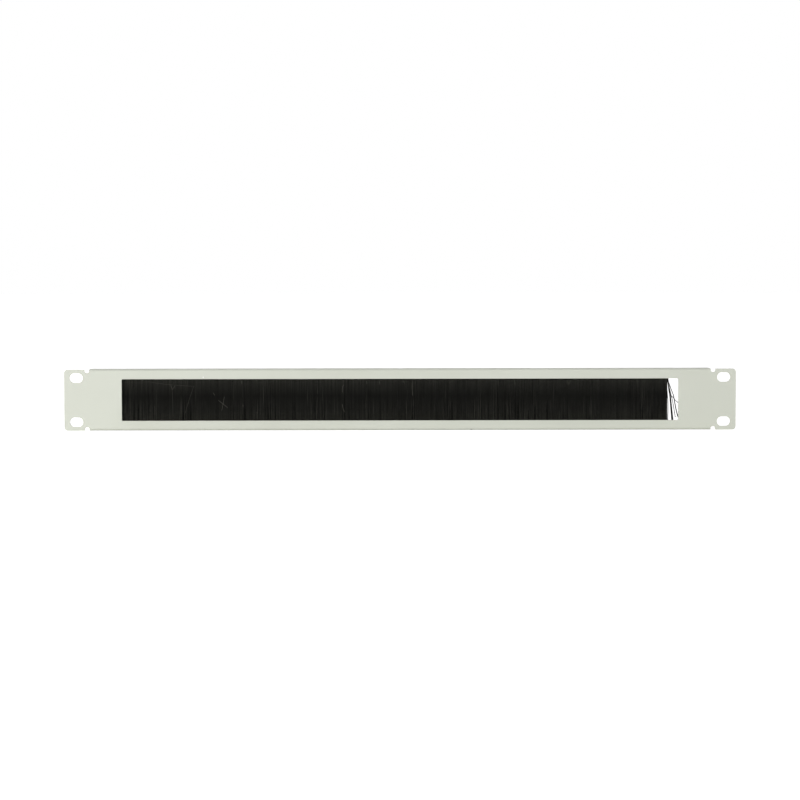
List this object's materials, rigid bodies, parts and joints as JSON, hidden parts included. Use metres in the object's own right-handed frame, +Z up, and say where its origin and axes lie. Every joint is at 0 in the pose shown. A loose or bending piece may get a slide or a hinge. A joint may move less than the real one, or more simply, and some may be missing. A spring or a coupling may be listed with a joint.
{
  "type": "rack brush strip panel",
  "caption": "Folded steel 1U rack panel with slotted ears and a wide cable window closed by a black strip brush hanging from a rail behind it.",
  "frame": {"origin": "centre of the four rack slots, on the back face of the ears, which is the plane that meets the rack", "axes": "+X along the panel to the right as seen from the front, +Z up, and -Y out of the front face, so the flanges run back along +Y"},
  "size_m": [0.4826, 0.016, 0.044],
  "materials": {
    "powder_coat": "satin",
    "galvanised_steel": "satin",
    "steel_wire": "satin",
    "bristle_nylon": "satin",
    "zinc_plate": "gloss"
  },
  "bodies": {
    "root": {"front_panel": "powder_coat", "clamp_rail": "galvanised_steel", "brush_channel": "galvanised_steel", "core_wire": "steel_wire", "bristles": "bristle_nylon", "loose_bristles": "bristle_nylon", "stray_bristles": "bristle_nylon", "clinch_studs": "zinc_plate", "lock_washers": "zinc_plate", "hex_nuts": "zinc_plate"}
  },
  "joints": []
}
